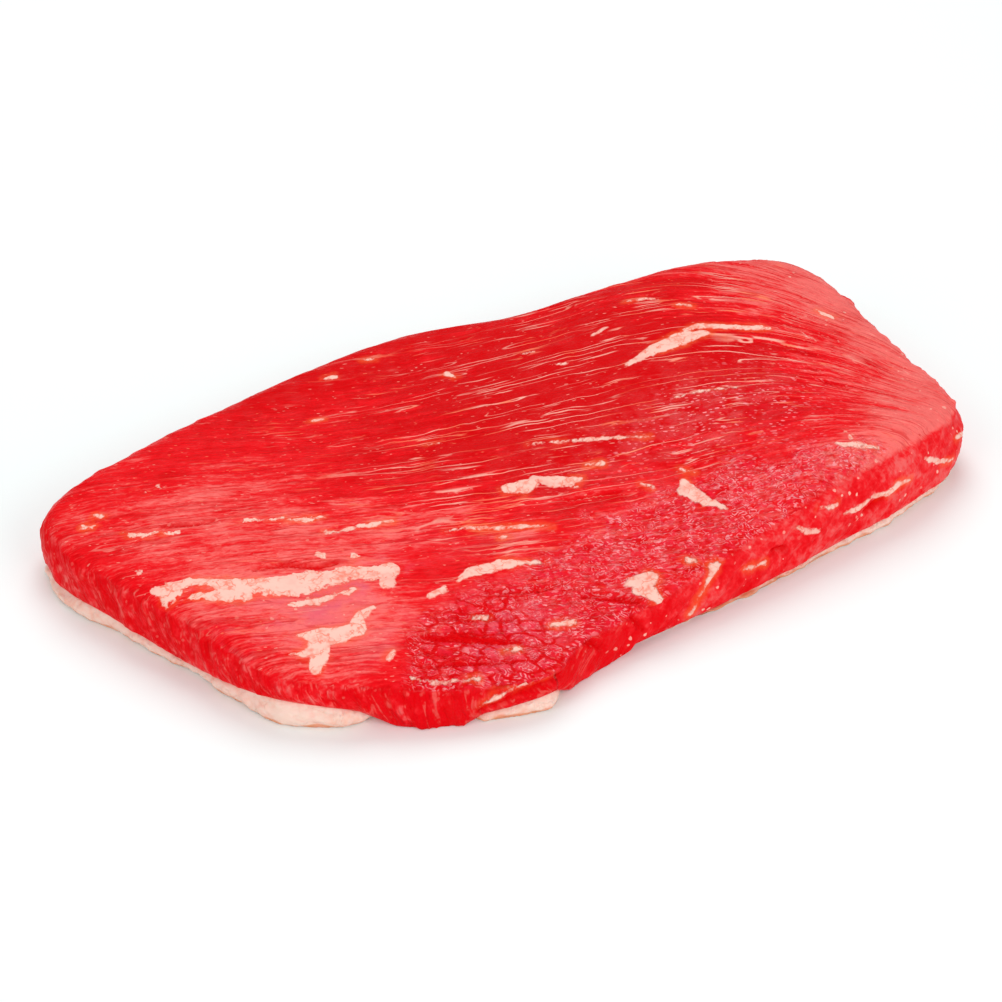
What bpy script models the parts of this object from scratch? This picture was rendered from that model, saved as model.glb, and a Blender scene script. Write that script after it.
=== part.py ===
"""Raw beef brisket flat: a slab of lean muscle lying on its own fat cap.

Blender 4.5 script, run with: blender --background --python part.py
Metres, +Z up. X runs along the slab's long cut side, and the origin is the middle of its footprint,
on the surface that it lies on. The slab is thick at its +X end and thins to a tongue at its front corner.
"""

import math

import bmesh
import bpy
from mathutils import Vector
from mathutils.geometry import delaunay_2d_cdt

MM = 0.001

# One station for each turn of the slab's footprint, counter-clockwise from the front corner.
# In millimetres: x, y, height of the top just inside the edge, width of the rounded shoulder,
# thickness of the fat under the edge, and how far the fat reaches out past the lean.
STATIONS_MM = (
    (-47, -93, 15, 15, 4.6, 1.0),     # front corner
    (-30, -88, 16, 12, 2.6, -0.2),
    (-8, -86, 18, 12, 1.6, -0.6),
    (40, -87, 23, 12, 1.4, -0.4),
    (94, -85, 35, 19, 2.2, -0.2),     # long cut side
    (142, -82, 37, 22, 3.2, -0.8),
    (177, -67, 27, 17, 1.6, -1.6),    # near corner of the thick end
    (184, -22, 33, 16, 2.6, -1.2),
    (190, 24, 39, 15, 3.4, -0.6),
    (178, 54, 41, 15, 3.6, -0.4),     # far corner of the thick end
    (131, 79, 38, 14, 3.4, -0.2),
    (78, 93, 28, 13, 3.8, 0.2),
    (22, 115, 25, 12, 4.0, 0.4),      # long far side
    (-45, 114, 24, 12, 4.2, 0.4),
    (-104, 104, 26, 12, 4.0, 0.2),
    (-145, 92, 26, 12, 3.4, 0.2),
    (-156, 68, 24, 11, 3.0, 1.0),     # tip of the thin end
    (-151, 34, 25, 11, 5.6, 2.0),
    (-141, -3, 25, 11, 4.0, 1.4),     # thin end, cut across the slab
    (-131, -38, 24, 12, 8.4, 2.2),
    (-112, -58, 21, 13, 6.6, 1.8),
    (-81, -80, 17, 14, 1.5, -1.6),
)

# Broad swells and hollows of the upper face, in millimetres: x, y, reach along X, reach along Y, rise.
SWELLS_MM = (
    (72, 18, 62, 44, 5.0),            # the thick muscle over the +X half
    (-104, 36, 44, 40, 2.6),          # lobe at the thin end
    (-22, 78, 40, 34, -3.4),          # hollow towards the far side
    (-36, -44, 46, 26, 1.2),
)

SPINE_HALF = 72 * MM                  # half length of the line that the rings close in on
CORE_FAT = 4.4 * MM                   # fat under the middle of the slab
SEAM_GAP = 0.3 * MM                   # clearance between the lean and its fat
SEAM_INSETS = (8 * MM, 15 * MM, 22 * MM, 30 * MM)  # where the fat's thickness eases to that of the middle
SHOULDER_POWER = 3.0                  # squareness of the shoulder: 2 is round, 4 is nearly square
TUCK = 1.2 * MM                       # how far the lean's wall draws in at its foot
TUCK_HEIGHT = 3.0 * MM
FAT_NOSE = 3.4 * MM                   # width of the fat's rounded outer edge
FAT_FOOT = 1.6 * MM                   # how far the fat's edge draws in at the floor
EDGE_CUT = 0.7 * MM                   # depth of the uneven knife cuts round the edge

AROUND = 104                          # points round the slab
SHOULDER_STEPS = 6
TOP_STEP = 11 * MM                    # spacing of the points on the upper face
MERGE = 1e-6
NOSE_STEPS = 3

LEAN_LOOK = {"colour": (0.62, 0.022, 0.026, 1.0), "roughness": 0.32}
FAT_LOOK = {"colour": (0.86, 0.60, 0.47, 1.0), "roughness": 0.42}


def clear_scene():
    for thing in list(bpy.data.objects):
        bpy.data.objects.remove(thing, do_unlink=True)


def through_points(points, index, share):
    """A closed Catmull-Rom spline through rows of numbers, a share of the way from one row to the next."""
    a, b, c, d = (points[(index + step) % len(points)] for step in (-1, 0, 1, 2))
    t, t2, t3 = share, share**2, share**3
    return [
        0.5 * (2 * q + (r - p) * t + (2 * p - 5 * q + 4 * r - s) * t2 + (3 * q - p - 3 * r + s) * t3)
        for p, q, r, s in zip(a, b, c, d)
    ]


def edge_stations():
    """AROUND evenly spaced rows like STATIONS_MM, in metres, round a footprint centred on the origin."""
    fine = 24
    rows = [
        through_points(STATIONS_MM, i, k / fine) for i in range(len(STATIONS_MM)) for k in range(fine)
    ]
    walked = [0.0]
    for now, after in zip(rows, rows[1:] + rows[:1]):
        walked.append(walked[-1] + math.dist(now[:2], after[:2]))
    middle = [(min(r[k] for r in rows) + max(r[k] for r in rows)) / 2 for k in (0, 1)]
    even, at = [], 0
    for n in range(AROUND):
        target = walked[-1] * n / AROUND
        while walked[at + 1] < target:
            at += 1
        share = (target - walked[at]) / (walked[at + 1] - walked[at])
        row = [p + (q - p) * share for p, q in zip(rows[at], rows[(at + 1) % len(rows)])]
        row[0] -= middle[0]
        row[1] -= middle[1]
        even.append([value * MM for value in row])
    return even, [value * MM for value in middle]


def edge_wobble(n, seed):
    """A small uneven in-and-out round the edge, the same each run, from -1 to 1."""
    turn = 2 * math.pi * n / AROUND
    waves = ((0.5, 7, 1.0), (0.3, 13, 2.1), (0.2, 29, 3.7))
    return sum(size * math.sin(times * turn + shift * seed) for size, times, shift in waves)


def inner_point(row):
    """The nearest point of the spine to an edge station."""
    return max(-SPINE_HALF, min(SPINE_HALF, row[0])), 0.0


def moved_in(row, distance):
    """The plan position that lies this far in from an edge station, towards the spine."""
    inner = inner_point(row)
    share = distance / math.dist(row[:2], inner)
    return row[0] + (inner[0] - row[0]) * share, row[1] + (inner[1] - row[1]) * share


def blended(edge, x, y, column):
    """A column of the edge stations spread over the whole footprint, near stations counting most."""
    total = weight_sum = 0.0
    for row in edge[:: AROUND // 26]:
        weight = 1 / ((x - row[0]) ** 2 + (y - row[1]) ** 2 + (14 * MM) ** 2) ** 1.5
        total += weight * row[column]
        weight_sum += weight
    return total / weight_sum


def swell(x, y, middle):
    rise = 0.0
    for row in SWELLS_MM:
        cx, cy, reach_x, reach_y, height = (value * MM for value in row)
        u, v = (x - cx + middle[0]) / reach_x, (y - cy + middle[1]) / reach_y
        rise += height * math.exp(-(u * u + v * v) / 2)
    return rise


def rim_share(x, y, edge):
    """0 at the edge and 1 from about 30 mm inside it, eased."""
    nearest = min(math.dist((x, y), row[:2]) for row in edge)
    t = min(1.0, nearest / (30 * MM))
    return t * t * (3 - 2 * t)


def top_height(x, y, edge, middle):
    return blended(edge, x, y, 2) + swell(x, y, middle) * rim_share(x, y, edge)


def seam_height(row, inset):
    """The height of the seam this far in from an edge station."""
    t = min(1.0, max(0.0, (inset - SEAM_INSETS[0]) / (SEAM_INSETS[-1] - SEAM_INSETS[0])))
    return row[4] + (CORE_FAT - row[4]) * t * t * (3 - 2 * t)


def seam_rings(edge):
    """The rings that fat and lean share between them, from the outside in, at the height of the seam."""
    rings = []
    for inset in SEAM_INSETS:
        rings.append([(*moved_in(row, inset), seam_height(row, inset)) for row in edge])
    for share in (0.45, 0.8):
        rings.append(
            [
                (*moved_in(row, inset + (math.dist(row[:2], inner_point(row)) - inset) * share), CORE_FAT)
                for row in edge
            ]
        )
    return rings


def lean_rings(edge, middle):
    """Rings from the rim of the upper face, over the shoulder, down the wall and in along the seam."""
    rings = []
    for step in range(SHOULDER_STEPS + 1):
        angle = math.pi / 2 * (1 - step / SHOULDER_STEPS)
        inset_share = 1 - math.cos(angle) ** (2 / SHOULDER_POWER)
        rise_share = math.sin(angle) ** (2 / SHOULDER_POWER)
        points = []
        for n, row in enumerate(edge):
            foot = row[4] + SEAM_GAP + TUCK_HEIGHT
            cut = EDGE_CUT * edge_wobble(n, 1.3 + 0.4 * step) * (1 - rise_share**4)
            x, y = moved_in(row, row[3] * inset_share + cut + EDGE_CUT)
            top = top_height(*moved_in(row, row[3]), edge, middle)
            points.append((x, y, foot + (top - foot) * rise_share))
        rings.append(points)
    rings.append([(*moved_in(row, TUCK + 2 * EDGE_CUT), row[4] + SEAM_GAP) for row in edge])
    for ring in seam_rings(edge):
        rings.append([(x, y, z + SEAM_GAP) for x, y, z in ring])
    return rings


def fat_rings(edge):
    """Rings from the middle of the seam, out round the fat's nose and in along the floor."""
    rings = seam_rings(edge)[::-1]
    for step in range(NOSE_STEPS + 1):
        angle = math.pi / 2 * (1 - step / NOSE_STEPS)
        points = []
        for n, row in enumerate(edge):
            start = FAT_NOSE * (1 - math.cos(angle)) - row[5]
            cut = EDGE_CUT * 0.8 * edge_wobble(n, 4.1) * math.cos(angle)
            x, y = moved_in(row, start + cut + EDGE_CUT)
            points.append((x, y, row[4] * (0.42 + 0.58 * math.sin(angle))))
        rings.append(points)
    foot = []
    for n, row in enumerate(edge):
        x, y = moved_in(row, FAT_FOOT - row[5] + EDGE_CUT * (1 + 0.8 * edge_wobble(n, 4.1)))
        foot.append((x, y, 0.0))
    rings.append(foot)
    return rings


def inside_points(ring):
    """Evenly spread points inside a ring, clear of it by most of a step."""
    points = []
    columns = int((max(p[0] for p in ring) - min(p[0] for p in ring)) / TOP_STEP)
    left = min(p[0] for p in ring)
    for column in range(1, columns + 1):
        x = left + column * TOP_STEP
        crossings = []
        for p, q in zip(ring, ring[1:] + ring[:1]):
            if (p[0] - x) * (q[0] - x) < 0:
                crossings.append(p[1] + (q[1] - p[1]) * (x - p[0]) / (q[0] - p[0]))
        if len(crossings) != 2:
            continue
        low, high = min(crossings), max(crossings)
        count = round((high - low) / TOP_STEP)
        for n in range(1, count):
            points.append((x, low + (high - low) * n / count))
    return [p for p in points if min(math.dist(p, q[:2]) for q in ring) > 0.7 * TOP_STEP]


def filled_top(shell, loop, height):
    """Even triangles that fill a loop of the shell and follow a height over the plan."""
    ring = [tuple(vert.co) for vert in loop]
    inside = inside_points(ring)
    flat = [Vector(p[:2]) for p in ring] + [Vector(p) for p in inside]
    edges = [(n, (n + 1) % len(ring)) for n in range(len(ring))]
    corners, _, faces, _, _, _ = delaunay_2d_cdt(flat, edges, [], 1, MERGE)
    verts = list(loop) + [shell.verts.new((x, y, height(x, y))) for x, y in inside]
    if len(corners) != len(verts):
        raise RuntimeError("the upper face has lost or gained points")
    for face in faces:
        shell.faces.new([verts[n] for n in face])


def solid_from_rings(name, rings, look, height=None):
    """One closed solid: quads join neighbouring rings, and the first and last ring are filled."""
    shell = bmesh.new()
    loops = [[shell.verts.new(point) for point in ring] for ring in rings]
    for upper, lower in zip(loops, loops[1:]):
        for n in range(AROUND):
            after = (n + 1) % AROUND
            shell.faces.new((upper[n], lower[n], lower[after], upper[after]))
    if height:
        filled_top(shell, loops[0], height)
    else:
        shell.faces.new(loops[0])
    shell.faces.new(reversed(loops[-1]))
    bmesh.ops.recalc_face_normals(shell, faces=shell.faces)
    mesh = bpy.data.meshes.new(name)
    shell.to_mesh(mesh)
    shell.free()
    mesh.shade_smooth()
    mesh.materials.append(material(name, look))
    thing = bpy.data.objects.new(name, mesh)
    bpy.context.scene.collection.objects.link(thing)
    return thing


def material(name, look):
    made = bpy.data.materials.new(name)
    made.use_nodes = True
    shader = made.node_tree.nodes["Principled BSDF"]
    shader.inputs["Base Color"].default_value = look["colour"]
    shader.inputs["Roughness"].default_value = look["roughness"]
    shader.inputs["Metallic"].default_value = 0.0
    return made


def main():
    clear_scene()
    edge, middle = edge_stations()

    def height(x, y):
        return top_height(x, y, edge, middle)

    solid_from_rings("lean_muscle", lean_rings(edge, middle), LEAN_LOOK, height)
    solid_from_rings("fat_cap", fat_rings(edge), FAT_LOOK)


main()
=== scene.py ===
import math
from functools import reduce

import bmesh
import bpy
import numpy as np
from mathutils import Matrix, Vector, noise


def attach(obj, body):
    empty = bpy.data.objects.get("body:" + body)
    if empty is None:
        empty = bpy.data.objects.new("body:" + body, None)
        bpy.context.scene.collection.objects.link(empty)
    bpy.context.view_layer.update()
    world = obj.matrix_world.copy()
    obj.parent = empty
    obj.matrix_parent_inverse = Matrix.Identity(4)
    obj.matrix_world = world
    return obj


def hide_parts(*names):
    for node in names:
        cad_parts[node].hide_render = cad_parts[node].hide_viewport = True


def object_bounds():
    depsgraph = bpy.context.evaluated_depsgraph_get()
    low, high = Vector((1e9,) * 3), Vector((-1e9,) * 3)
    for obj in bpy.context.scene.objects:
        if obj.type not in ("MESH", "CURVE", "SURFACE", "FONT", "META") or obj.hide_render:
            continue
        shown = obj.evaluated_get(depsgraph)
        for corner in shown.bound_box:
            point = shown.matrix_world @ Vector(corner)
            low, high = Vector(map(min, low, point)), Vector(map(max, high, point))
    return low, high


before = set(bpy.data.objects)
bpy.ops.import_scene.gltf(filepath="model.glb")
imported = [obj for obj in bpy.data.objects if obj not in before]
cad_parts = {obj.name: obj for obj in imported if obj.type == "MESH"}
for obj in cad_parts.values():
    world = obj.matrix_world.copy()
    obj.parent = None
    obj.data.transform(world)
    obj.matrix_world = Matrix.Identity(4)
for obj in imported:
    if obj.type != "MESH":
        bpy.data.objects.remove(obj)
cadLow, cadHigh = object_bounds()
mm = 0.001
middle = Vector(((cadLow[0] + cadHigh[0]) / 2, (cadLow[1] + cadHigh[1]) / 2, cadLow[2]))
print("frame loaded, slab in mm:", [round((b - a) / mm, 1) for a, b in zip(cadLow, cadHigh)])


studio = {
    "lens": 85, "azimuth": -36, "elevation": 36, "distance": 0.893,   # mm, degrees and metres
    "aim": (-18, -12, 16.4),      # mm from the middle of the slab's foot
    "floor": (0.92, 0.98, 0.98), "floorSize": 6.0,      # white with a cool cast; metres across
    "floorRoughness": 0.8, "floorGloss": 0.2,
    "worldColour": (1.0, 0.99, 0.98), "worldStrength": 0.56,
}
lamps = {  # azimuth and elevation in degrees, distance and size in metres, power in watts
    "overhead": {"azimuth": 150, "elevation": 58, "distance": 1.4, "size": 1.0, "power": 7.8},
    "leftFill": {"azimuth": -80, "elevation": 34, "distance": 1.4, "size": 1.0, "power": 3.7},
    "frontFill": {"azimuth": 5, "elevation": 28, "distance": 1.5, "size": 1.0, "power": 7.5},
}


def directionTo(azimuth, elevation):
    turn, tilt = math.radians(azimuth), math.radians(elevation)
    return Vector((math.sin(turn) * math.cos(tilt), -math.cos(turn) * math.cos(tilt), math.sin(tilt)))


def placeAround(thing, azimuth, elevation, distance, aim):
    away = directionTo(azimuth, elevation)
    thing.location = aim + away * distance
    thing.rotation_euler = away.to_track_quat("Z", "Y").to_euler()
    bpy.context.scene.collection.objects.link(thing)


def buildStudio():
    scene = bpy.context.scene
    aim = middle + Vector(studio["aim"]) * mm
    camera = bpy.data.objects.new("camera", bpy.data.cameras.new("camera"))
    camera.data.lens = studio["lens"]
    placeAround(camera, studio["azimuth"], studio["elevation"], studio["distance"], aim)
    scene.camera = camera
    for name, lamp in lamps.items():
        light = bpy.data.lights.new(name, "AREA")
        light.shape = "DISK"
        light.size = lamp["size"]
        light.energy = lamp["power"]
        stand = bpy.data.objects.new(name, light)
        placeAround(stand, lamp["azimuth"], lamp["elevation"], lamp["distance"], middle)
    world = bpy.data.worlds.new("studioWorld")
    world.use_nodes = True
    backdrop = world.node_tree.nodes["Background"]
    backdrop.inputs["Color"].default_value = (*studio["worldColour"], 1)
    backdrop.inputs["Strength"].default_value = studio["worldStrength"]
    scene.world = world
    scene.view_settings.view_transform = "Standard"
    half = studio["floorSize"] / 2
    corners = [(-half, -half, 0), (half, -half, 0), (half, half, 0), (-half, half, 0)]
    sheet = bpy.data.meshes.new("floor")
    sheet.from_pydata(corners, [], [(0, 1, 2, 3)])
    floor = bpy.data.objects.new("floor", sheet)
    floor.location = middle
    paint = bpy.data.materials.new("floorPaint")
    paint.use_nodes = True
    shader = paint.node_tree.nodes["Principled BSDF"]
    shader.inputs["Base Color"].default_value = (*studio["floor"], 1)
    shader.inputs["Roughness"].default_value = studio["floorRoughness"]
    shader.inputs["Specular IOR Level"].default_value = studio["floorGloss"]
    sheet.materials.append(paint)
    scene.collection.objects.link(floor)


buildStudio()
print("studio built")


def eased(value, low, high):
    t = np.clip((value - low) / (high - low), 0, 1)
    return t * t * (3 - 2 * t)


# In perlin and cells, scales are features to a mm along each axis, and shift picks another pattern.
def perlin(points, scales, shift):
    rows = points * np.array(scales) + shift
    return np.array([noise.noise(Vector(row)) for row in rows.tolist()])


def cells(points, scales, shift, metric):
    # nearest and second nearest distances to scattered cell centres
    rows = points * np.array(scales) + shift
    found = [noise.voronoi(Vector(row), distance_metric=metric)[0][:2] for row in rows.tolist()]
    return np.array(found)


def fineMesh(node, name, spacing, smoothing):
    # an even skin of small quads over a node's solid, spacing in mm
    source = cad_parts[node]
    piece = bpy.data.objects.new(name, source.data.copy())
    piece.matrix_world = source.matrix_world
    bpy.context.scene.collection.objects.link(piece)
    piece.data.materials.clear()
    weld = piece.modifiers.new("weld", "WELD")
    weld.merge_threshold = 0.01 * mm
    rounding = piece.modifiers.new("rounding", "SUBSURF")
    rounding.levels = rounding.render_levels = 2
    skin = piece.modifiers.new("skin", "REMESH")
    skin.mode = "VOXEL"
    skin.voxel_size = spacing * mm
    soft = piece.modifiers.new("soft", "SMOOTH")
    soft.iterations = smoothing
    bpy.context.view_layer.update()
    fine = bpy.data.meshes.new_from_object(piece.evaluated_get(bpy.context.evaluated_depsgraph_get()))
    fine.name = name
    piece.modifiers.clear()
    piece.data = fine
    fine.shade_smooth()
    return piece


def vertexTable(mesh, what):
    table = np.empty(len(mesh.vertices) * 3)
    mesh.vertices.foreach_get(what, table)
    return table.reshape(-1, 3)


def insetTable(points):
    # how far each point lies inside the slab's outline, towards the middle, in the points' own unit
    parts = 240      # of a turn round the middle
    angle = np.arctan2(points[:, 1], points[:, 0])
    radius = np.hypot(points[:, 0], points[:, 1])
    part = ((angle + math.pi) / (2 * math.pi) * parts).astype(int) % parts
    outline = np.zeros(parts)
    np.maximum.at(outline, part, radius)
    outline = (np.roll(outline, 1) + outline + np.roll(outline, -1)) / 3
    return outline[part] - radius


flat = 0.85                     # a face that points this much up or down is a level one
fillShrink = (0.80, 0.72)       # size of a hidden face's flat fill beside the ring round it, along x and y


def coarsenHidden(piece, side, inset, height):
    # swaps the small quads of a hidden face, side 1 up or -1 down, for a ring and a flat fill at
    # this height; the skin nearer the outline than inset stays
    mesh = piece.data
    inside = insetTable(vertexTable(mesh, "co") / mm) > inset
    shell = bmesh.new()
    shell.from_mesh(mesh)
    shell.faces.ensure_lookup_table()
    hidden = [f for f in shell.faces if f.normal.z * side > flat and all(inside[v.index] for v in f.verts)]
    bmesh.ops.delete(shell, geom=hidden, context="FACES")
    rim = [e for e in shell.edges if e.is_boundary]
    ring = bmesh.ops.extrude_edge_only(shell, edges=rim)["geom"]
    for vert in (g for g in ring if isinstance(g, bmesh.types.BMVert)):
        vert.co.x *= fillShrink[0]
        vert.co.y *= fillShrink[1]
        vert.co.z = middle.z + height * mm
    edges = [g for g in ring if isinstance(g, bmesh.types.BMEdge) and g.is_boundary]
    bmesh.ops.triangle_fill(shell, edges=edges, use_beauty=True)
    bmesh.ops.delete(shell, geom=[v for v in shell.verts if not v.link_faces], context="VERTS")
    bmesh.ops.recalc_face_normals(shell, faces=shell.faces)
    shell.to_mesh(mesh)
    shell.free()
    mesh.shade_smooth()


def storeValues(mesh, name, values):
    kind, slot = ("FLOAT_VECTOR", "vector") if values.ndim == 2 else ("FLOAT", "value")
    made = mesh.attributes.new(name, kind, "POINT")
    made.data.foreach_set(slot, values.astype(np.float32).ravel())


# Where the grain points, in degrees below +X, at places along the slab in mm.
grainTurns = ((-175, 24), (-60, 25), (10, 25), (55, 19), (90, 28), (120, 48), (145, 63), (175, 70))


def grainAt(x, y):
    # how far along the grain and across it a place is, in mm
    reach = 190
    squeeze = 0.92      # the turned grain lies closer together
    steps = np.arange(-reach, reach + 1.0)
    slope = np.tan(np.radians(np.interp(steps, *zip(*grainTurns))))
    fall = np.cumsum(slope) - np.cumsum(slope)[reach]
    walked = np.cumsum(np.hypot(1, slope))
    return np.interp(x, steps, walked), (y + np.interp(x, steps, fall)) * squeeze


# Fat seams and patches on the upper face: each is a stroke of (x, y, half width) in mm.
fatStrokes = (
    ((-155, 7, 1.4), (-151, 3, 4.4), (-155, -1, 1.8)),                   # lobe at the seam's start
    ((-152, 4, 3.2), (-144, 3, 2.0)),
    ((-142, 1, 1.6), (-134, -8, 3.4), (-127, -13, 3.6)),                 # the long seam
    ((-147, -6, 1.6), (-138, -11, 3.4), (-132, -15, 3.0)),
    ((-125, -14, 3.8), (-116, -19, 5.2), (-107, -21, 5.0), (-99, -23, 3.8), (-91, -24, 2.8)),
    ((-95, -25, 2.8), (-87, -29, 4.4), (-81, -30, 4.0)),
    ((-82, -30, 3.6), (-86, -36, 3.2)),
    ((-120, -28, 1.0), (-110, -31, 1.4), (-98, -33, 0.8)),
    ((-127, -43, 1.0), (-121, -47, 4.2), (-114, -50, 3.6)),              # forked patch
    ((-114, -50, 3.8), (-108, -50, 3.4), (-103, -45, 2.0), (-97, -44, 0.9)),
    ((-122, -48, 3.6), (-126, -54, 3.8), (-131, -59, 1.8)),
    ((-134, -50, 0.8), (-127, -53, 2.2)),
    ((-76, -49, 1.5), (-70, -49, 1.7)),                                  # seam across the coarse muscle
    ((-64, -48, 0.6), (-57, -47, 2.4), (-46, -50, 3.0), (-38, -54, 1.2), (-32, -57, 0.2)),
    ((-20, -18, 2.2), (-15, -21, 3.8), (-11, -22, 2.2)),                 # knot of fat in the middle
    ((-9, -20, 1.4), (-4, -26, 3.0), (5, -31, 1.0)),
    ((-4, -28, 1.2), (1, -33, 0.5)),
    ((-89, -1, 0.9), (-84, -3, 0.7), (-76, -4, 1.4), (-65, -8, 0.5)),
    ((-98, -10, 1.3), (-97, -11, 1.1)),
    ((-87, -17, 0.9), (-85, -18, 0.7)),
    ((-110, 21, 0.4), (-99, 15, 0.9), (-91, 10, 1.3), (-84, 8, 0.4)),
    ((-125, 59, 1.1), (-124, 58, 0.8)),
    ((-132, 60, 0.6), (-130, 58, 0.5)),
    ((-152, 57, 1.0), (-149, 55, 0.6)),
    ((-158, 54, 0.9), (-155, 52, 0.5)),
    ((-157, 19, 0.9), (-155, 18, 0.6)),
    ((-149, 41, 0.5), (-147, 37, 1.2), (-133, 29, 0.4)),
    ((60, 11, 0.9), (67, 11, 2.0), (75, 12, 3.2), (87, 11, 4.4), (97, 8, 2.2)),   # over the thick end
    ((92, 15, 0.8), (98, 14, 1.6), (105, 8, 1.6), (119, -2, 1.5), (121, -4, 0.6)),
    ((34, -56, 1.4), (32, -60, 3.6), (33, -67, 2.6), (37, -77, 0.8)),
    ((91, -78, 1.1), (96, -82, 1.5), (103, -87, 0.5)),
    ((98, -74, 0.7), (97, -78, 0.9)),
    ((-13, -84, 2.2), (-6, -86, 3.4), (-12, -88, 2.6)),                  # patch at the near rim
    ((-14, -88, 1.8), (-10, -91, 3.0), (-9, -95, 1.2)),
    ((16, -94, 1.4), (18, -95, 1.8)),
    ((-52, -24, 0.4), (-44, -27, 0.9), (-40, -30, 0.8), (-26, -39, 0.9), (-18, -45, 0.4)),
    ((-37, -38, 0.9), (-35, -39, 0.5)),
    ((-49, -84, 0.8), (-43, -86, 1.5), (-41, -87, 0.9)),
    ((-70, -85, 0.6), (-65, -87, 1.2)),
    ((-69, -66, 0.9), (-65, -68, 0.7)),
    ((-103, -66, 0.6), (-107, -68, 1.1)),
    ((-105, -79, 0.3), (-98, -85, 0.8), (-92, -88, 0.3)),
    ((-90, -89, 0.3), (-85, -91, 0.8)),
    ((10, -87, 1.3), (12, -89, 0.7)),
    ((11, -26, 0.7), (16, -29, 1.0)),
    ((1, -3, 0.4), (14, -11, 0.6), (22, -16, 1.0), (39, -29, 0.4)),
    ((21, -47, 0.8), (24, -51, 0.5)),
    ((37, -50, 0.9), (40, -55, 0.5)),
    ((59, -16, 0.3), (72, -20, 0.6), (86, -27, 0.3)),
    ((88, 48, 0.4), (95, 44, 1.0), (99, 40, 0.6)),
    ((102, 31, 0.6), (105, 27, 1.0)),
    ((63, 38, 0.5), (71, 38, 0.9)),
    ((39, 32, 0.6), (44, 29, 0.8)),
    ((35, 49, 0.4), (40, 46, 0.6)),
    ((146, -4, 0.5), (149, -11, 0.9)),
    ((130, -13, 0.9), (132, -20, 0.5)),
    ((7, 60, 1.2), (8, 55, 0.7)),
    ((-32, 89, 0.8), (-28, 88, 0.8)),
    ((-13, 91, 0.7), (-9, 89, 0.6)),
    ((-52, 68, 0.6), (-48, 66, 0.8)),
    ((-27, 23, 0.7), (-23, 21, 0.5)),
)

# Fat on the near cut face: strokes of (x, height, half width) in mm.
wallStrokes = (
    ((80, 18, 0.6), (87, 17, 1.1), (94, 18.5, 0.8), (102, 17.5, 1.5), (108, 19, 1.0), (114, 18, 0.5)),
    ((57, 21, 0.6), (60, 18, 1.2), (66, 16, 0.8)),
    ((124, 23, 0.6), (128, 20, 1.2), (133, 17, 1.0), (142, 13, 0.7)),
    ((17, 20, 0.9), (13, 17, 0.5), (8, 11, 0.3), (4, 6, 0.5)),
    ((30, 15, 0.5), (40, 13, 0.8)),
    ((146, 20, 0.5), (152, 18, 0.9)),
    ((68, 24, 0.4), (76, 23, 0.9)),
    ((-88, 9, 0.3), (-80, 12, 0.7), (-70, 14.5, 0.6), (-60, 16, 0.3)),   # strips at the near corner
    ((-82, 15, 0.3), (-74, 17, 0.6), (-64, 18.5, 0.3)),
)

# Wet dents and slits in the near cut face, as (x, height, half width) in mm.
wallSlits = (
    ((90, 13.5, 0.4), (96, 15, 1.4), (101, 16, 0.5)),
    ((44, 17, 0.3), (50, 15, 0.7)),
    ((-88, 6.5, 0.3), (-78, 9.5, 0.9), (-68, 12, 0.9), (-58, 12.5, 0.3)),
    ((-84, 13, 0.2), (-74, 15.5, 0.6), (-62, 16.5, 0.6), (-52, 15.5, 0.2)),
    ((-46, 18, 0.3), (-40, 14, 0.9), (-36, 11, 0.3)),
    ((-24, 19, 0.3), (-20, 14, 0.8), (-18, 10, 0.3)),
)

# Knife slits in the upper face: strokes of (x, y, half width) in mm.
slitStrokes = (
    ((-122, -5, 0.2), (-112, -8, 0.6), (-102, -15, 0.7), (-94, -17, 0.2)),
    ((-90, -64, 0.8), (-80, -70, 2.2), (-70, -78, 2.2), (-62, -84, 0.8)),
    ((-95, -70, 0.2), (-90, -74, 0.6), (-86, -78, 0.2)),
    ((-78, -61, 0.2), (-70, -66, 0.9), (-58, -74, 0.3)),
    ((-94, -78, 0.2), (-80, -85, 1.0), (-70, -91, 0.3)),
    ((-31, -78, 0.3), (-23, -85, 1.2), (-16, -92, 0.5)),
    ((-56, -60, 0.2), (-46, -66, 0.4), (-38, -70, 0.2)),
    ((116, -42, 0.2), (121, -50, 0.5)),
    ((-136, 36, 0.2), (-128, 31, 0.3), (-119, 28, 0.2)),
    ((-6, -36, 0.2), (4, -41, 0.3), (12, -45, 0.2)),
)


def strokeReach(x, y, strokes):
    # how far inside the nearest stroke a point is, in mm, below zero outside
    best = np.full(len(x), -1e3)
    for stroke in strokes:
        for (ax, ay, aw), (bx, by, bw) in zip(stroke, stroke[1:]):
            dx, dy = bx - ax, by - ay
            t = np.clip(((x - ax) * dx + (y - ay) * dy) / (dx * dx + dy * dy), 0, 1)
            reach = aw + (bw - aw) * t - np.hypot(x - ax - dx * t, y - ay - dy * t)
            best = np.maximum(best, reach)
    return best


lean = {                                   # all in mm
    "spacing": 1.16, "smoothing": 6,       # between points of the skin, and rounds of smoothing
    "swellHeight": 0.6, "bundleHeight": 0.42, "cobbleHeight": 0.9, "wallHeight": 1.5, "rimHeight": 1.5,
    "fatRise": 0.45, "slitDepth": 1.6,
    "seamHeight": 4.7, "seamInset": 9,     # where it lies on its fat: above the floor, and in from its rim
    "nearFace": -60,                       # the near cut face lies nearer than this y
}

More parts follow.
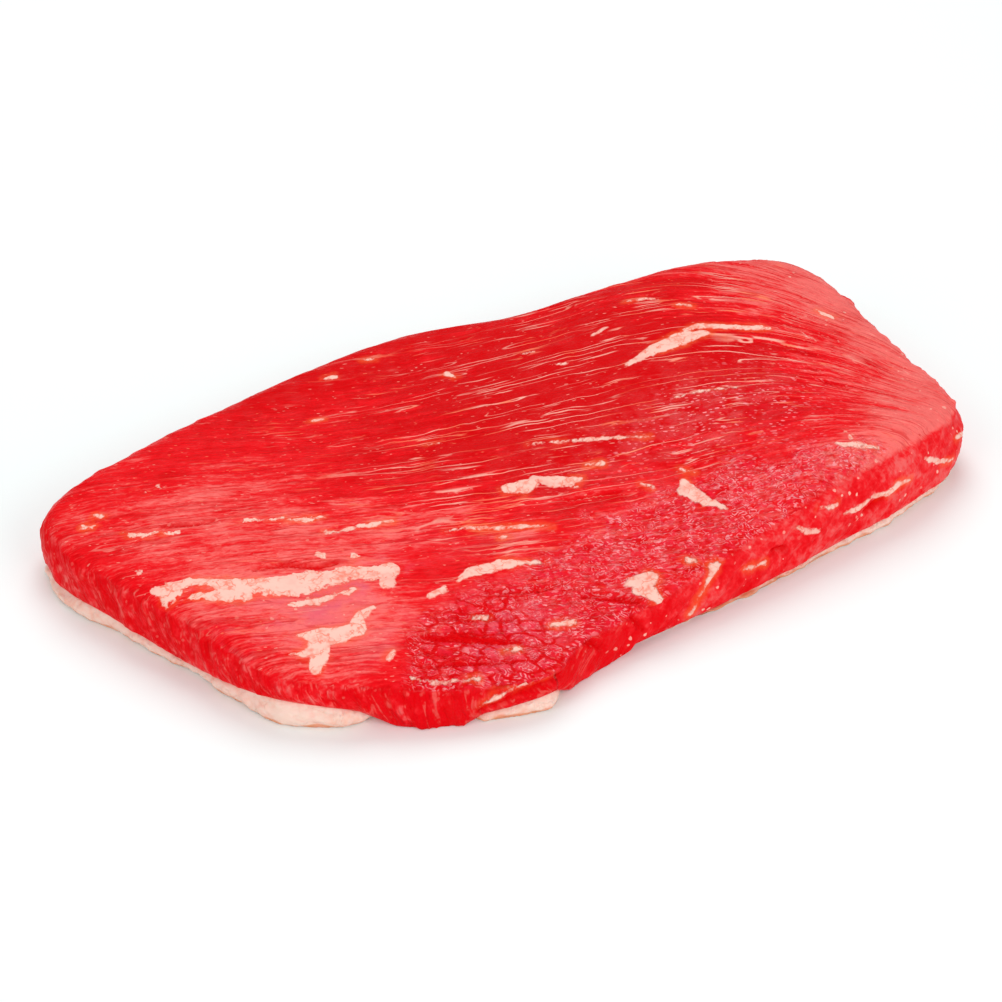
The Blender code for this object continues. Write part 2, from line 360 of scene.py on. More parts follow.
# The noises that shape the lean: features to a mm along each axis, and which pattern.
leanNoise = {
    "swell": ((0.035, 0.05, 0.05), 7.7),
    "bundles": ((0.030, 0.26, 0.26), 1.7), "strands": ((0.05, 0.5, 0.5), 5.3),
    "ragged": ((0.11, 0.11, 0.11), 3.1), "bend": ((0.1, 0.1, 0.1), 8.8),
    "blocks": ((0.19, 0.17, 0.10), 2.9), "bundleEnds": ((0.11, 0.36, 0.20), 6.4),
    "wallFolds": ((0.13, 0.06, 0.1), 9.4), "wallCreases": ((0.32, 0.13, 0.2), 4.4),
    "rimLumps": ((0.12, 0.12, 0.12), 1.3), "rimPits": ((0.3, 0.3, 0.3), 5.3),
}

# Front edge of the coarse, cross-cut muscle: how far back it reaches, (x, y) in mm.
coarseReach = (
    (-122, -110), (-108, -78), (-96, -62), (-84, -52), (-70, -53), (-52, -54), (-20, -48), (20, -50),
    (50, -57), (80, -68), (100, -80), (125, -112),
)

# Paler and deeper places of the upper face, partly the meat's own tone and partly painted light: the paler
# ends stand in for the light and sheen that fall on them. (x, y, reach along x, reach along y, how much)
# in mm.
paleness = 0.34      # away from them
toneAndLightSpots = (
    (-122, 20, 50, 46, 0.46), (-70, -18, 60, 24, 0.30), (168, 0, 60, 95, 0.76), (112, -88, 60, 20, 0.55),
    (45, 12, 75, 42, -0.66), (-112, -48, 36, 26, 0.50), (-52, -72, 24, 14, 0.2), (-20, 86, 60, 28, -0.12),
    (10, 95, 90, 14, -0.22), (80, -16, 46, 30, -0.42), (70, 60, 60, 30, -0.16), (20, -55, 50, 14, 0.14),
    (-118, 14, 26, 16, -0.16), (-74, -32, 18, 14, -0.2),
)

# Where the muscle is wet, streaked with fat and covered in silverskin, as the spots above.
wetSpots = ((84, -40, 34, 24, 1.0), (40, -30, 40, 16, 0.6))
streakySpots = ((75, 10, 90, 90, 0.9), (-30, 0, 50, 60, 0.4))
silverSpots = ((-108, -32, 36, 10, 1.2), (-74, -76, 30, 20, 1.0))

# Where the lean hangs down to the floor along its near edge, (x, mm lowered).
leanDrop = ((-122, 0), (-112, 4.3), (-93, 4.3), (-86, 0), (-60, 0), (-52, 4.3), (-32, 4.3), (-20, 0))


def spotSum(x, y, start, spots):
    # start, raised or lowered round each soft spot
    total = np.full(len(x), float(start))
    for cx, cy, rx, ry, more in spots:
        total += more * np.exp(-(((x - cx) / rx) ** 2 + ((y - cy) / ry) ** 2))
    return total


def leanPlaces(points, normals):
    # what each point of the lean lies on, and the coordinates that its relief follows
    x, y, z = points.T
    u, v = grainAt(x, y)
    at = {"grain": np.stack([u, v, z], 1)}
    at["top"] = top = eased(normals[:, 2], 0.45, 0.85)
    at["under"] = under = eased(-normals[:, 2], 0.3, 0.7)
    at["wall"] = wall = (1 - top) * (1 - under)
    at["ragged"] = ragged = perlin(points, *leanNoise["ragged"])
    ahead = np.interp(x, *zip(*coarseReach)) - y
    at["coarse"] = coarse = eased(ahead + 9 * ragged, -4, 7) * (1 - 0.75 * wall)
    at["cross"] = coarse * eased(x + 6 * ragged, -38, -56)      # where the bundles are cut straight across
    run = (x - y) / 1.4                     # along the cut faces
    tilt = np.where(x < -60, 0.35, -0.9)    # the way their folds slope
    at["folds"] = np.stack([run + tilt * z, z, x * 0.2], 1)

    onTop = top > 0.2
    onNearFace = (y < lean["nearFace"]) & (wall > 0.25)
    away = -9.0      # mm, where no stroke can lie
    strokes = {"fatReach": (fatStrokes, wallStrokes), "slitReach": (slitStrokes, wallSlits)}
    for name, (above, beside) in strokes.items():
        reach = np.where(onTop, strokeReach(x, y, above), away)
        at[name] = np.where(onNearFace, np.maximum(reach, strokeReach(x, z, beside)), reach)
    return at


def cobbleHeights(points, at):
    # blocks where the bundles are cut across, and their long ends in the rest of the coarse muscle
    ragged = at["ragged"]
    bend = perlin(points, *leanNoise["bend"])
    bent = at["grain"] + 1.6 * np.stack([ragged, bend, ragged], 1)
    blocks = cells(bent, *leanNoise["blocks"], "CHEBYCHEV")
    bundleEnds = cells(bent, *leanNoise["bundleEnds"], "DISTANCE")
    cobble = np.clip(blocks[:, 1] - blocks[:, 0], 0, 0.4) / 0.4
    strands = np.clip(bundleEnds[:, 1] - bundleEnds[:, 0], 0, 0.45) / 0.45
    return cobble * at["cross"] + strands * (at["coarse"] - at["cross"])


def buildLean():
    piece = fineMesh("lean_muscle", "leanSlab", lean["spacing"], lean["smoothing"])
    coarsenHidden(piece, -1, lean["seamInset"], lean["seamHeight"])
    mesh = piece.data
    points = vertexTable(mesh, "co") / mm
    normals = vertexTable(mesh, "normal")
    x, y, z = points.T
    at = leanPlaces(points, normals)
    grain, folds, coarse, wall, top = (at[name] for name in ("grain", "folds", "coarse", "wall", "top"))
    lumps = cobbleHeights(points, at)

    swell = perlin(points, *leanNoise["swell"])
    bundles = perlin(grain, *leanNoise["bundles"]) + 0.6 * perlin(grain, *leanNoise["strands"])
    wallCuts = perlin(folds, *leanNoise["wallFolds"]) + 0.5 * perlin(folds, *leanNoise["wallCreases"])
    bumpyRim = perlin(points, *leanNoise["rimLumps"]) + 0.6 * perlin(points, *leanNoise["rimPits"])
    onRim = eased(-y, -60, 0) * 4 * top * (1 - top)          # most half way round the near rim
    rise = (
        lean["swellHeight"] * swell
        + lean["bundleHeight"] * bundles * (1 - 0.6 * coarse)
        + lean["cobbleHeight"] * (lumps - 0.7 * coarse)
        + lean["wallHeight"] * wallCuts * wall
        + lean["rimHeight"] * bumpyRim * onRim
        + lean["fatRise"] * eased(at["fatReach"], -0.8, 1.2)
        - lean["slitDepth"] * eased(at["slitReach"], -1.2, 0.6)
    ) * (1 - at["under"])
    moved = points + normals * rise[:, None]
    foot = eased(-y, 55, 68) * (1 - eased(z, 4.5, 15))       # the low part of the near edge
    moved[:, 2] -= np.interp(x, *zip(*leanDrop)) * foot
    moved[:, 2] = np.maximum(moved[:, 2], 0.15)              # just clear of the floor
    mesh.vertices.foreach_set("co", (moved * mm).ravel())
    mesh.update()

    u, v, _ = grain.T
    wet = np.maximum(coarse, spotSum(x, y, 0, wetSpots))
    for name, values in (
        ("grain", np.stack([u, v, 0.3 * z], 1)),
        ("side", folds),
        ("fatReach", at["fatReach"]),
        ("grainy", eased(-x, 75, 90) * eased(y, -38, -30)),      # where the fat's edge is crumbly
        ("slit", eased(at["slitReach"], -0.9, 0.3)),
        ("coarse", coarse),
        ("cross", at["cross"]),
        ("wet", np.clip(wet, 0, 1)),
        ("lump", np.where(coarse > 0.02, lumps / np.maximum(coarse, 0.02), 1.0)),
        ("wall", wall),
        ("folded", 1 - eased(x, -50, -10) * eased(-y, 0, 50)),   # the right cut face has few folds
        ("base", spotSum(x, y, paleness, toneAndLightSpots)),
        ("streaky", np.clip(spotSum(x, y, 0.12, streakySpots), 0, 1)),
        ("silver", np.clip(spotSum(x, y, 0, silverSpots), 0, 1)),
    ):
        storeValues(mesh, name, values)
    return piece


fat = {                                   # all in mm
    "spacing": 0.85, "smoothing": 3,      # between points of the skin, and rounds of smoothing
    "seamHeight": 4.4, "seamInset": 11,   # under the lean: above the floor, and in from its rim
    "soleInset": 9,                       # flat underside, in from its rim
    "edgeWave": 1.2, "foldHeight": 0.8,
    "slope": 2.0,                         # the ledge climbs towards the lean
}
fatNoise = {"wave": ((0.08, 0.08, 0.15), 2.2), "folds": ((0.24, 0.24, 0.35), 6.1)}     # as the lean's

# How far the cap draws in under the lean along its near edge, (x, mm).
capPull = (
    (-180, 3.6), (-151, 3.8), (-144, 0), (-127, 0), (-116, 8), (-95, 8), (-86, -0.6), (-63, -0.6),
    (-54, 7), (-32, 6), (-14, 2.6), (30, 1.0), (110, 0.8), (165, 0),
)


def buildFat():
    piece = fineMesh("fat_cap", "fatLayer", fat["spacing"], fat["smoothing"])
    coarsenHidden(piece, -1, fat["soleInset"], 0.0)
    coarsenHidden(piece, 1, fat["seamInset"], fat["seamHeight"])
    mesh = piece.data
    points = vertexTable(mesh, "co") / mm
    normals = vertexTable(mesh, "normal")
    facingUp = normals[:, 2]
    points[:, 2] += fat["slope"] * eased(insetTable(points), 0.8, 5.0) * eased(facingUp, 0.1, 0.6)
    edge = 1 - eased(np.abs(facingUp), 0.75, 0.95)
    rise = edge * (
        fat["edgeWave"] * perlin(points, *fatNoise["wave"])
        + fat["foldHeight"] * perlin(points, *fatNoise["folds"])
    )
    low = points[:, 2] < 0.4         # the sole stays flat on the floor
    moved = points + normals * rise[:, None]
    moved[low, 2] = points[low, 2]
    inward = points[:, :2] * (-0.3, -1.0)
    pull = np.interp(points[:, 0], *zip(*capPull)) * eased(-points[:, 1], -40, -20)
    moved[:, :2] += inward / np.maximum(np.hypot(*inward.T), 1)[:, None] * pull[:, None]
    mesh.vertices.foreach_set("co", (moved * mm).ravel())
    mesh.update()
    return piece


leanSlab = buildLean()
print("lean slab shaped:", len(leanSlab.data.polygons), "faces")
fatLayer = buildFat()
print("fat layer shaped:", len(fatLayer.data.polygons), "faces")


def feed(tree, socket, value):
    # another node's output or a plain value; a colour may leave out its alpha
    if isinstance(value, bpy.types.NodeSocket):
        tree.links.new(value, socket)
    elif socket.type == "RGBA" and len(value) == 3:
        socket.default_value = (*value, 1)
    else:
        socket.default_value = value


def addNode(tree, kind, inputs=None, **settings):
    made = tree.nodes.new(kind)
    for key, value in settings.items():
        setattr(made, key, value)
    for key, value in (inputs or {}).items():
        feed(tree, made.inputs[key], value)
    return made


def calc(tree, operation, a, b=0.0, c=0.0):
    return addNode(tree, "ShaderNodeMath", {0: a, 1: b, 2: c}, operation=operation).outputs[0]


def product(tree, *values):
    return reduce(lambda a, b: calc(tree, "MULTIPLY", a, b), values)


def highest(tree, *values):
    return reduce(lambda a, b: calc(tree, "MAXIMUM", a, b), values)


def summed(tree, start, *parts):
    # start plus each (value, amount), with the value's middle 0.5 adding nothing
    for value, amount in parts:
        start = calc(tree, "ADD", start, calc(tree, "MULTIPLY_ADD", value, amount, -0.5 * amount))
    return start


def inverse(tree, value):
    return calc(tree, "SUBTRACT", 1.0, value)


def line(tree, value, slope, start):
    return calc(tree, "MULTIPLY_ADD", value, slope, start)


def spread(tree, value, low, high, toLow=0.0, toHigh=1.0):
    # a soft step between low and high; it falls where low is the greater
    inputs = {"Value": value, "From Min": low, "From Max": high, "To Min": toLow, "To Max": toHigh}
    return addNode(tree, "ShaderNodeMapRange", inputs, interpolation_type="SMOOTHSTEP").outputs["Result"]


def blend(tree, share, a, b):
    return addNode(tree, "ShaderNodeMix", {0: share, 6: a, 7: b}, data_type="RGBA").outputs[2]


def addVectors(tree, a, b):
    return addNode(tree, "ShaderNodeVectorMath", {0: a, 1: b}, operation="ADD").outputs[0]


def stretched(tree, vector, scales, shift=(0, 0, 0)):
    inputs = {0: vector, 1: scales, 2: shift}
    return addNode(tree, "ShaderNodeVectorMath", inputs, operation="MULTIPLY_ADD").outputs[0]


def millimetres(tree):
    place = addNode(tree, "ShaderNodeTexCoord").outputs["Object"]
    return addNode(tree, "ShaderNodeVectorMath", {0: place, "Scale": 1 / mm}, operation="SCALE").outputs[0]


def field(tree, name, vector=False):
    return addNode(tree, "ShaderNodeAttribute", attribute_name=name).outputs["Vector" if vector else "Fac"]


def channel(tree, colour, index):
    return addNode(tree, "ShaderNodeSeparateColor", {0: colour}).outputs[index]


# In the noises below, scales are how many features there are to a mm, along each of the three directions.
def cloud(tree, vector, scales, detail=2.0, shift=(0, 0, 0), roughness=0.5):
    inputs = {"Vector": stretched(tree, vector, scales, shift), "Scale": 1.0,
              "Detail": detail, "Roughness": roughness}
    return addNode(tree, "ShaderNodeTexNoise", inputs).outputs["Fac"]


def dots(tree, vector, scales, shift=(0, 0, 0), feature="F1", dimensions="3D"):
    inputs = {"Vector": stretched(tree, vector, scales, shift), "Scale": 1.0}
    made = addNode(tree, "ShaderNodeTexVoronoi", inputs, feature=feature, voronoi_dimensions=dimensions)
    return made.outputs


def swirl(tree, place, scale, width):
    # a soft shift in three directions, to half of each width either way
    inputs = {"Vector": place, "Scale": scale, "Detail": 1.0}
    made = addNode(tree, "ShaderNodeTexNoise", inputs).outputs["Color"]
    return stretched(tree, made, width, tuple(-0.5 * w for w in width))


def dashes(tree, vector, scales, shift, rarity, size, dimensions="2D"):
    # small marks, long where the scales are stretched: a mask of them, and a random tone for each
    made = dots(tree, vector, scales, shift, "F1", dimensions)
    grown = spread(tree, channel(tree, made["Color"], 0), rarity, 1.0, 0.0, size)
    mask = spread(tree, calc(tree, "SUBTRACT", grown, made["Distance"]), 0.0, 0.09)
    return mask, channel(tree, made["Color"], 1)


def threads(tree, vector, scales, shift, width, detail=1.5):
    # thin lines that wander along a stretched direction
    off = calc(tree, "ABSOLUTE", calc(tree, "SUBTRACT", cloud(tree, vector, scales, detail, shift), 0.5))
    return spread(tree, off, width, width * 0.3)


def newGroup(name, inputs, outputs):
    group = bpy.data.node_groups.new(name, "ShaderNodeTree")
    kinds = {"colour": "NodeSocketColor", "value": "NodeSocketFloat", "vector": "NodeSocketVector"}
    for title, kind, value in inputs:
        socket = group.interface.new_socket(title, in_out="INPUT", socket_type=kinds[kind])
        socket.default_value = (*value, 1) if kind == "colour" else value
    for title, kind in outputs:
        group.interface.new_socket(title, in_out="OUTPUT", socket_type=kinds[kind])
    return group, group.nodes.new("NodeGroupInput").outputs, group.nodes.new("NodeGroupOutput").inputs


def useGroup(tree, group, inputs):
    made = addNode(tree, "ShaderNodeGroup", node_tree=group)
    for key, value in inputs.items():
        feed(tree, made.inputs[key], value)
    return made.outputs


def fatTissueGroup():
    # granular fat: a mottled colour and its own small relief
    inputs = (
        ("Place", "vector", (0, 0, 0)), ("Light", "colour", (0.93, 0.72, 0.60)),
        ("Warm", "colour", (0.90, 0.50, 0.34)), ("Grain Size", "value", 1.0), ("Cracks", "value", 0.0),
    )
    group, given, out = newGroup("fatTissue", inputs, (("Colour", "colour"), ("Relief", "value")))
    sized = {0: given["Place"], "Scale": given["Grain Size"]}
    place = addNode(group, "ShaderNodeVectorMath", sized, operation="SCALE").outputs[0]
    lobes = dots(group, place, (0.75, 0.75, 0.75))["Distance"]
    mottle = cloud(group, place, (0.22, 0.22, 0.22), 3.0)
    bend = addNode(group, "ShaderNodeTexNoise", {"Vector": place, "Scale": 0.5, "Detail": 0.0})
    bent = addVectors(group, place, stretched(group, bend.outputs["Color"], (3.0, 3.0, 3.0)))
    lobeEdge = dots(group, bent, (0.20, 0.20, 0.20), feature="DISTANCE_TO_EDGE")["Distance"]
    cracks = product(group, spread(group, lobeEdge, 0.055, 0.02), spread(group, mottle, 0.42, 0.50))
    warmth = spread(group, calc(group, "ADD", mottle, calc(group, "MULTIPLY", lobes, 0.35)), 0.60, 1.08)
    warmth = highest(group, warmth, product(group, cracks, given["Cracks"]))
    feed(group, out["Colour"], blend(group, warmth, given["Light"], given["Warm"]))
    feed(group, out["Relief"], calc(group, "SUBTRACT", calc(group, "SUBTRACT", mottle, lobes), cracks))
    return group


def wetFilmGroup():
    # how wet the surface is from place to place, as roughness and coat
    inputs = (("Place", "vector", (0, 0, 0)), ("Dry", "value", 0.45), ("Wet", "value", 0.2))
    group, given, out = newGroup("wetFilm", inputs, (("Roughness", "value"), ("Coat", "value")))
    patches = cloud(group, given["Place"], (0.12, 0.12, 0.12), 3.0, roughness=0.65)
    wetness = spread(group, patches, 0.38, 0.62)
    rough = {"Value": wetness, "To Min": given["Dry"], "To Max": given["Wet"]}
    feed(group, out["Roughness"], addNode(group, "ShaderNodeMapRange", rough).outputs["Result"])
    feed(group, out["Coat"], wetness)
    return group


fatTissue = fatTissueGroup()
wetFilm = wetFilmGroup()


def newMaterial(name):
    made = bpy.data.materials.new(name)
    made.use_nodes = True
    return made, made.node_tree, made.node_tree.nodes["Principled BSDF"].inputs


meatLook = {
    "deep": (0.67, 0.0, 0.002), "mid": (0.85, 0.005, 0.010), "pale": (0.95, 0.165, 0.15),
    "wallDeep": (0.78, 0.001, 0.005), "wallMid": (0.87, 0.014, 0.020), "wallPale": (0.87, 0.125, 0.12),
    # the crevice colour is painted shade: a deeper red for crevices, slits and wrinkles; glint is a
    # painted highlight
    "creviceShade": (0.74, 0.0, 0.002), "bead": (0.88, 0.018, 0.045), "glint": (0.98, 0.34, 0.37),
    # the streak colour is the fat streaks' and specks' own colour, and also the painted highlight on the
    # cut faces' fold tips
    "streakAndHighlight": (0.96, 0.43, 0.35), "streakWarm": (0.97, 0.22, 0.12), "silver": (0.80, 0.10, 0.16),
    "fat": (0.94, 0.56, 0.47), "fatWarm": (0.91, 0.24, 0.17), "glow": (0.95, 0.13, 0.035),
    "fatCracks": 0.9, "palestWall": 0.56,
    "dry": 0.50, "wet": 0.34,              # roughness
    "coatRoughness": 0.14, "specular": 0.03,
    "bumpHeight": 1.0,                     # mm
}


# The meat's shared noises: what they follow, features to a mm, detail, shift and roughness.
meatNoise = {
    "wide": ("grain", (0.018, 0.22, 0.22), 2.0, (0, 0, 0), 0.6),
    "strand": ("crinkled", (0.035, 0.48, 0.48), 2.0, (3, 1, 7), 0.6),
    "fine": ("crinkled", (0.24, 1.1, 1.1), 2.0, (6, 4, 1), 0.65),
    "patch": ("place", (0.04, 0.04, 0.04), 4.0, (0, 0, 0), 0.6),
    "mottle": ("squirm", (0.28, 0.28, 0.28), 2.0, (7, 7, 2), 0.6),
    "cutWide": ("side", (0.13, 0.06, 0.05), 2.0, (2, 6, 4), 0.6),
    "cutFine": ("side", (0.50, 0.20, 0.3), 2.0, (5, 3, 4), 0.6),
}


def meatPlaces(tree):
    # the masks, directions and noises that the meat's marks share
    stored = (
        "coarse", "cross", "wet", "wall", "folded", "base", "lump", "slit", "silver", "fatReach", "grainy",
    )
    at = {name: field(tree, name) for name in stored}
    at["place"] = place = millimetres(tree)
    wobble = swirl(tree, place, 0.08, (5.0, 2.6, 2.6))
    ripple = swirl(tree, place, 0.45, (1.6, 0.7, 0.7))
    at["grain"] = grain = addVectors(tree, field(tree, "grain", vector=True), wobble)
    at["side"] = addVectors(tree, field(tree, "side", vector=True), wobble)
    at["gentle"] = addVectors(tree, grain, stretched(tree, ripple, (0.3, 0.3, 0.3)))
    at["crinkled"] = addVectors(tree, grain, ripple)
    at["squirm"] = addVectors(tree, place, stretched(tree, ripple, (1.2, 1.2, 1.2)))
    for name, (direction, *settings) in meatNoise.items():
        at[name] = cloud(tree, at[direction], *settings)
    at["streaky"] = spread(tree, summed(tree, field(tree, "streaky"), (at["patch"], 1.4)), 0.2, 0.9)
    return at


def combedColour(tree, at):
    # red combed along the grain, with dark hairlines and silverskin
    combed = product(tree, summed(tree, 0.0, (at["wide"], 1.2), (at["strand"], 1.3)),
                     line(tree, at["streaky"], 0.6, 0.45))
    tone = calc(tree, "ADD", summed(tree, at["base"], (at["fine"], 0.9), (at["patch"], 0.9)), combed)
    colour = blend(tree, spread(tree, tone, 0.05, 0.50), meatLook["deep"], meatLook["mid"])
    colour = blend(tree, spread(tree, tone, 0.45, 1.0), colour, meatLook["pale"])
    hairlines = threads(tree, at["gentle"], (0.018, 0.30, 0.30), (6, 9, 2), 0.05)
    where = spread(tree, cloud(tree, at["grain"], (0.03, 0.1, 0.1), 2.0, (5, 5, 5)), 0.42, 0.58)
    colour = blend(tree, product(tree, hairlines, where, 0.6), colour, meatLook["deep"])
    silver = product(tree, at["silver"], spread(tree, at["patch"], 0.42, 0.58), 0.75)
    return blend(tree, silver, colour, meatLook["silver"])


def cobbleMarks(tree, at):
    # blocks of cut bundles: the crevices round them, painted a deeper red as shade, the beads on them and
    # painted highlights on the beads' rims
    crinkled, coarse, mottle = at["crinkled"], at["coarse"], at["mottle"]
    size, shift = (0.15, 0.17, 1), (5, 2, 8)
    block = dots(tree, crinkled, size, shift, "F1", "2D")["Color"]
    blockEdge = dots(tree, crinkled, size, shift, "DISTANCE_TO_EDGE", "2D")["Distance"]
    at["bead"] = dots(tree, crinkled, (0.30, 0.46, 1), (1, 6, 3), "DISTANCE_TO_EDGE", "2D")["Distance"]
    unevenness = spread(tree, mottle, 0.34, 0.52, 0.55, 0.95)
    # painted shade: the crevices, slits and low hollows between lumps, coloured a deeper red
    at["creviceShade"] = highest(
        tree,
        product(tree, spread(tree, at["lump"], 0.25, 0.0), coarse, 0.7),
        product(tree, spread(tree, blockEdge, 0.16, 0.05), at["cross"], unevenness),
        product(tree, spread(tree, mottle, 0.40, 0.33), at["wet"], 0.5),
        at["slit"],
    )
    # painted highlights: thin rings round the beads, and rows of short dashes on ribbed blocks
    ring = spread(tree, calc(tree, "ABSOLUTE", calc(tree, "SUBTRACT", at["bead"], 0.17)), 0.09, 0.03)
    shifted = addVectors(tree, crinkled, stretched(tree, block, (40.0, 40.0, 40.0)))
    ribGlints = threads(tree, shifted, (0.12, 0.46, 0.1), (3, 3, 3), 0.05, 1.0)
    ribbed = spread(tree, channel(tree, block, 1), 0.55, 0.60)      # some blocks have ribs, not beads
    broken = spread(tree, cloud(tree, at["place"], (0.5, 0.5, 0.5), 1.0, (1, 1, 2)), 0.42, 0.54)
    at["rims"] = product(tree, blend(tree, ribbed, ring, ribGlints), broken, coarse)


def marbling(tree, at):
    # a mask of threads and dashes of fat along the grain, and their colour
    gentle, grain, streaky = at["gentle"], at["grain"], at["streaky"]
    longThreads = threads(tree, gentle, (0.010, 0.22, 0.22), (1, 4, 2), 0.026, 0.0)
    longWhere = spread(tree, cloud(tree, grain, (0.014, 0.14, 0.14), 2.0, (9, 1, 3)), 0.46, 0.58)
    shortThreads = threads(tree, gentle, (0.030, 0.42, 0.42), (7, 2, 2), 0.040, 0.5)
    shortWhere = spread(tree, cloud(tree, grain, (0.04, 0.18, 0.18), 2.0, (2, 7, 3)), 0.55, 0.66)
    dash = dashes(tree, gentle, (0.022, 0.45, 1), (1, 4, 2), 0.60, 0.22)[0]
    dot, dotTone = dashes(tree, at["crinkled"], (0.34, 0.90, 1), (3, 5, 2), 0.74, 0.28)
    marks = highest(
        tree,
        product(tree, longThreads, longWhere, streaky),
        product(tree, shortThreads, shortWhere, line(tree, streaky, 0.6, 0.3)),
        product(tree, dash, streaky, 0.8),
        product(tree, dot, dotTone, 0.6),
    )
    warmth = spread(tree, cloud(tree, at["place"], (0.05, 0.05, 0.05), 2.0, (3, 9, 9)), 0.46, 0.60)
    colour = blend(tree, warmth, meatLook["streakAndHighlight"], meatLook["streakWarm"])
    return product(tree, marks, line(tree, at["coarse"], -0.6, 1.0)), colour


def glints(tree, at):
    # where wet beads and fibres catch the light
    shine = spread(tree, cloud(tree, at["place"], (0.14, 0.14, 0.14), 3.0, (1, 8, 2), 0.65), 0.44, 0.58)
    sparkle = dashes(tree, at["crinkled"], (0.36, 0.75, 1), (8, 2, 5), 0.30, 0.34)[0]
    return product(tree, highest(tree, at["rims"], sparkle), at["wet"], highest(tree, shine, 0.5),
                   inverse(tree, at["creviceShade"]), 0.85)


def cutFaces(tree, at):
    # the colour of the cut sides: folds that slope, painted highlights on the fold tips and painted shade
    # in the wrinkles
    folded, mottle, patch = at["folded"], at["mottle"], at["patch"]
    folds = product(tree, summed(tree, 0.0, (at["cutWide"], 1.4), (at["cutFine"], 0.5)),
                    line(tree, folded, 0.6, 0.4))
    plain = summed(tree, calc(tree, "MINIMUM", at["base"], meatLook["palestWall"]),
                   (mottle, 1.0), (patch, 0.8), (at["fine"], 0.5))
    tone = line(tree, folded, -0.14, calc(tree, "ADD", folds, plain))
    colour = blend(tree, spread(tree, tone, 0.20, 0.60), meatLook["wallDeep"], meatLook["wallMid"])
    colour = blend(tree, spread(tree, tone, 0.45, 0.95), colour, meatLook["wallPale"])
    # painted highlights along the fold tips
    foldHighlights = product(tree, threads(tree, at["side"], (0.22, 0.06, 0.1), (1, 5, 8), 0.05, 2.0),
                   spread(tree, mottle, 0.42, 0.60), folded, 0.14)
    colour = blend(tree, foldHighlights, colour, meatLook["streakAndHighlight"])
    # painted shade in the wrinkles
    wrinkleShade = threads(tree, at["side"], (0.26, 0.07, 0.1), (5, 1, 1), 0.045, 2.0)
    wrinkleShade = product(tree, wrinkleShade, folded, 0.75)
    return blend(tree, highest(tree, at["slit"], wrinkleShade), colour, meatLook["creviceShade"])


def meatMaterial():
    made, tree, shader = newMaterial("leanMeat")
    at = meatPlaces(tree)
    place, wet, wall, patch, mottle = (at[name] for name in ("place", "wet", "wall", "patch", "mottle"))

    colour = combedColour(tree, at)
    beaded = product(tree, line(tree, at["coarse"], 0.5, 0.2), wet, spread(tree, mottle, 0.40, 0.62))
    colour = blend(tree, beaded, colour, meatLook["bead"])
    cobbleMarks(tree, at)
    # painted shade in the crevices and slits
    colour = blend(tree, at["creviceShade"], colour, meatLook["creviceShade"])
    marks, markColour = marbling(tree, at)
    colour = blend(tree, marks, colour, markColour)
    colour = blend(tree, glints(tree, at), colour, meatLook["glint"])

    side = spread(tree, summed(tree, wall, (mottle, 1.0), (patch, 0.8)), 0.30, 0.80)
    colour = blend(tree, side, colour, cutFaces(tree, at))
    speck, speckTone = dashes(tree, at["squirm"], (0.30, 0.30, 0.30), (3, 5, 2), 0.20, 0.27, "3D")
    speckled = highest(tree, product(tree, side, line(tree, at["folded"], -0.85, 1.0)),
                       spread(tree, at["base"], 0.55, 1.0, 0.0, 0.8))
    specks = product(tree, speck, spread(tree, speckTone, 0.0, 0.7), speckled)
    colour = blend(tree, specks, colour, meatLook["streakAndHighlight"])

    # the larger pieces of fat, with a ragged edge and an orange glow round them
    rag = calc(tree, "SUBTRACT", cloud(tree, place, (0.26, 0.26, 0.26), 3.0, roughness=0.55), 0.5)
    reach = calc(tree, "ADD", at["fatReach"], product(tree, rag, line(tree, at["grainy"], 3.6, 3.4)))
    glow = product(tree, spread(tree, reach, -3.0, 0.3), spread(tree, patch, 0.43, 0.57), 0.5)
    colour = blend(tree, glow, colour, meatLook["glow"])
    tissue = useGroup(tree, fatTissue, {
        "Place": place, "Light": meatLook["fat"], "Warm": meatLook["fatWarm"],
        "Cracks": meatLook["fatCracks"],
    })
    fatMask = spread(tree, reach, -0.35, 0.45)
    thickness = spread(tree, patch, 0.30, 0.45, 0.75, 1.0)
    colour = blend(tree, product(tree, fatMask, thickness), colour, tissue["Colour"])
    feed(tree, shader["Base Color"], colour)

    film = useGroup(tree, wetFilm, {"Place": place, "Dry": meatLook["dry"], "Wet": meatLook["wet"]})
    feed(tree, shader["Roughness"], film["Roughness"])
    feed(tree, shader["Coat Weight"],
         product(tree, film["Coat"], line(tree, wet, 0.22, 0.04), inverse(tree, at["creviceShade"])))
    shader["Coat Roughness"].default_value = meatLook["coatRoughness"]
    shader["Specular IOR Level"].default_value = meatLook["specular"]

    strands = summed(tree, 0.0, (at["wide"], 0.5), (at["strand"], 0.75), (at["fine"], 0.5))
    folds = summed(tree, 0.0, (at["cutWide"], 1.4), (at["cutFine"], 1.1))
    reliefs = (
        product(tree, strands, inverse(tree, wall)),
        product(tree, at["bead"], at["coarse"]),
        product(tree, mottle, line(tree, wet, 0.6, 0.4)),
        product(tree, folds, wall, line(tree, at["folded"], 0.8, 0.2)),
    )
    height = reduce(lambda a, b: calc(tree, "ADD", a, b), reliefs)
    height = product(tree, height, line(tree, fatMask, -0.8, 1.0))      # the fat is smoother
    bump = {"Height": height, "Distance": meatLook["bumpHeight"] * mm, "Strength": 1.0}
    feed(tree, shader["Normal"], addNode(tree, "ShaderNodeBump", bump).outputs["Normal"])
    return made


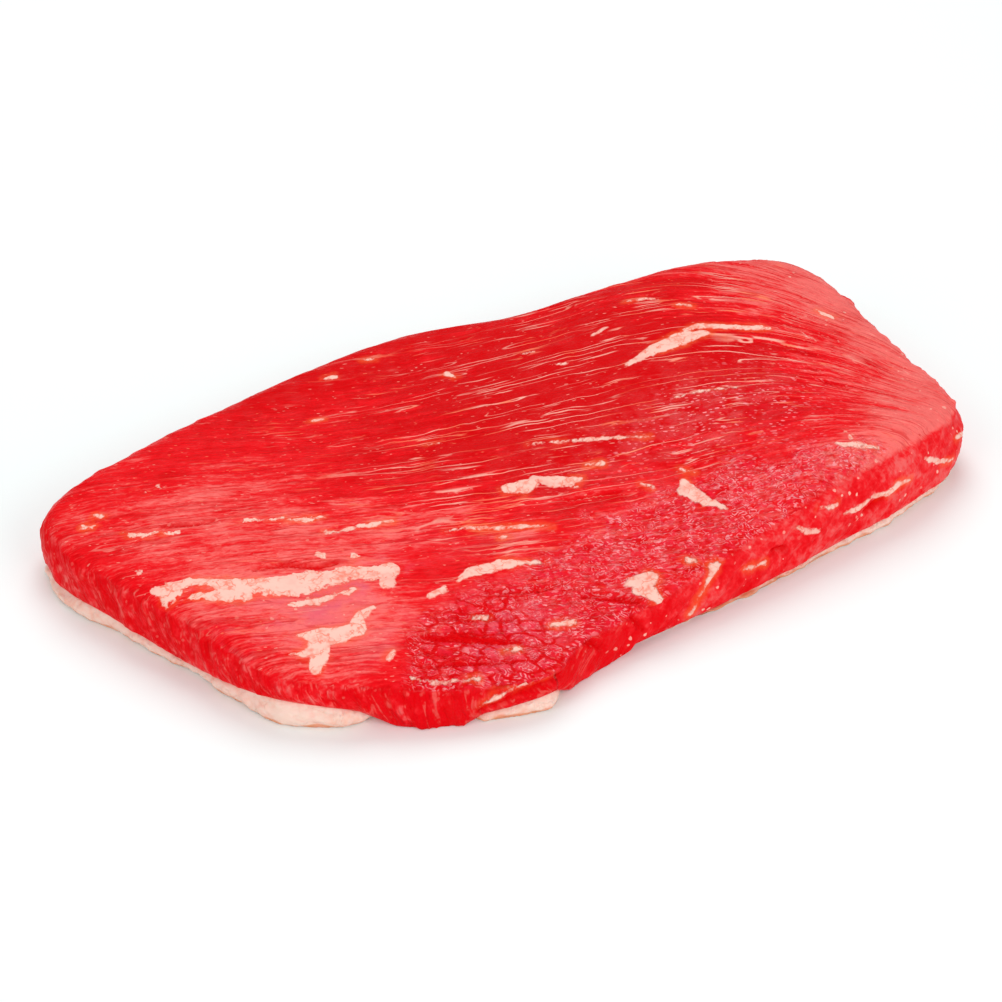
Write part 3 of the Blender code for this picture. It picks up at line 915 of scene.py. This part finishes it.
fatLook = {
    "light": (0.93, 0.66, 0.56), "warm": (0.90, 0.46, 0.34),
    # rim is painted shade along the cap's foot, where it meets the floor
    "rim": (0.78, 0.25, 0.09), "blush": (0.90, 0.38, 0.30),
    "grainSize": 0.6,
    "dry": 0.55, "wet": 0.34,              # roughness
    "specular": 0.4,
    "glowWeight": 0.15, "glowColour": (1.0, 0.5, 0.35), "glowDepth": 3,     # light under the skin, mm
    "bumpHeight": 0.4, "bumpStrength": 0.5,                                 # height in mm
}


def fatMaterial():
    made, tree, shader = newMaterial("fatCap")
    place = millimetres(tree)
    tissue = useGroup(tree, fatTissue, {
        "Place": place, "Light": fatLook["light"], "Warm": fatLook["warm"],
        "Grain Size": fatLook["grainSize"],
    })
    wave = cloud(tree, place, (0.15, 0.15, 0.3), 4.0)
    height = addNode(tree, "ShaderNodeSeparateXYZ", {0: place}).outputs["Z"]
    normal = addNode(tree, "ShaderNodeNewGeometry").outputs["Normal"]
    facingUp = addNode(tree, "ShaderNodeSeparateXYZ", {0: normal}).outputs["Z"]
    low = line(tree, wave, -3.0, calc(tree, "ADD", height, 1.5))
    rim = product(tree, spread(tree, low, 2.0, 0.9), spread(tree, facingUp, -0.9, -0.6), 0.85)
    colour = blend(tree, rim, tissue["Colour"], fatLook["rim"])     # painted shade: a brown line on the down-facing skin just above the floor
    blush = product(tree, spread(tree, wave, 0.56, 0.72), 0.35)
    feed(tree, shader["Base Color"], blend(tree, blush, colour, fatLook["blush"]))

    film = useGroup(tree, wetFilm, {"Place": place, "Dry": fatLook["dry"], "Wet": fatLook["wet"]})
    feed(tree, shader["Roughness"], film["Roughness"])
    shader["Specular IOR Level"].default_value = fatLook["specular"]
    shader["Subsurface Weight"].default_value = fatLook["glowWeight"]
    shader["Subsurface Radius"].default_value = fatLook["glowColour"]
    shader["Subsurface Scale"].default_value = fatLook["glowDepth"] * mm
    bump = {"Height": calc(tree, "ADD", tissue["Relief"], wave), "Distance": fatLook["bumpHeight"] * mm,
            "Strength": fatLook["bumpStrength"]}
    feed(tree, shader["Normal"], addNode(tree, "ShaderNodeBump", bump).outputs["Normal"])
    return made


leanSlab.data.materials.append(meatMaterial())
fatLayer.data.materials.append(fatMaterial())
print("materials made")

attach(leanSlab, "root")
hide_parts("lean_muscle")
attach(fatLayer, "root")
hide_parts("fat_cap")
